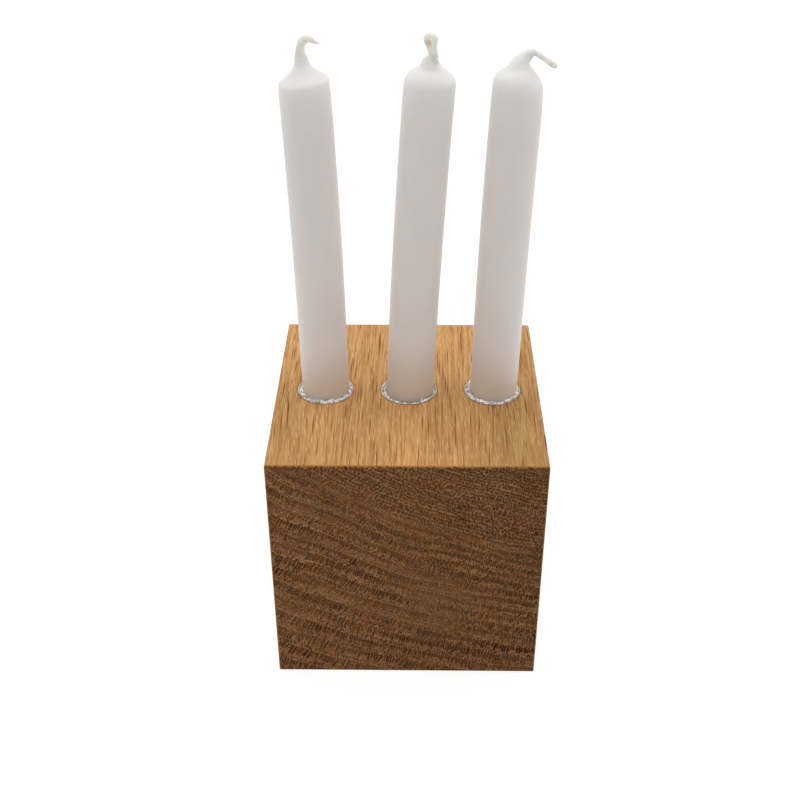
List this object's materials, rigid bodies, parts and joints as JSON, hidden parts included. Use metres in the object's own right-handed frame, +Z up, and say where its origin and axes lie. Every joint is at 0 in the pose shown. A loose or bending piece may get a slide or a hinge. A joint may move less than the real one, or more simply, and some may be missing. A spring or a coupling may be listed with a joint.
{
  "type": "advent candle holder",
  "caption": "Oak cube with metal-lined candle sockets in its long-grain sides, turned to the next side each Advent Sunday; slim tree candles stand in the upper side.",
  "frame": {"origin": "centre of the cube's underside, on the surface that it stands on", "axes": "+Z up, +X to the right along the row of three candles, end-grain front towards -Y"},
  "size_m": [0.07, 0.07, 0.1646],
  "materials": {
    "oak": "oiled",
    "cup_aluminium": "satin",
    "foil": "crumpled, bright",
    "wax": "satin",
    "waxed_cotton": "waxed braid"
  },
  "bodies": {
    "block": {"oak_block": "oak", "one_cup": "cup_aluminium", "two_cup_upper": "cup_aluminium", "two_cup_lower": "cup_aluminium", "three_cup_left": "cup_aluminium", "three_cup_centre": "cup_aluminium", "three_cup_right": "cup_aluminium", "four_cup_front_upper": "cup_aluminium", "four_cup_back_upper": "cup_aluminium", "four_cup_front_lower": "cup_aluminium", "four_cup_back_lower": "cup_aluminium", "foil_packing_left": "foil", "foil_packing_centre": "foil", "foil_packing_right": "foil"},
    "candle_left": {"candle_left": "wax", "wick_left": "waxed_cotton"},
    "candle_centre": {"candle_centre": "wax", "wick_centre": "waxed_cotton"},
    "candle_right": {"candle_right": "wax", "wick_right": "waxed_cotton"}
  },
  "joints": [
    {"name": "candle_left_lift", "type": "slide", "parent": "block", "child": "candle_left", "axis": [-0.0314, 0.0209, 0.9993], "range_m": [0, 0.03]},
    {"name": "candle_centre_lift", "type": "slide", "parent": "block", "child": "candle_centre", "axis": [0.0523, 0.0209, 0.9984], "range_m": [0, 0.03]},
    {"name": "candle_right_lift", "type": "slide", "parent": "block", "child": "candle_right", "axis": [0.0331, 0.0209, 0.9992], "range_m": [0, 0.03]}
  ]
}
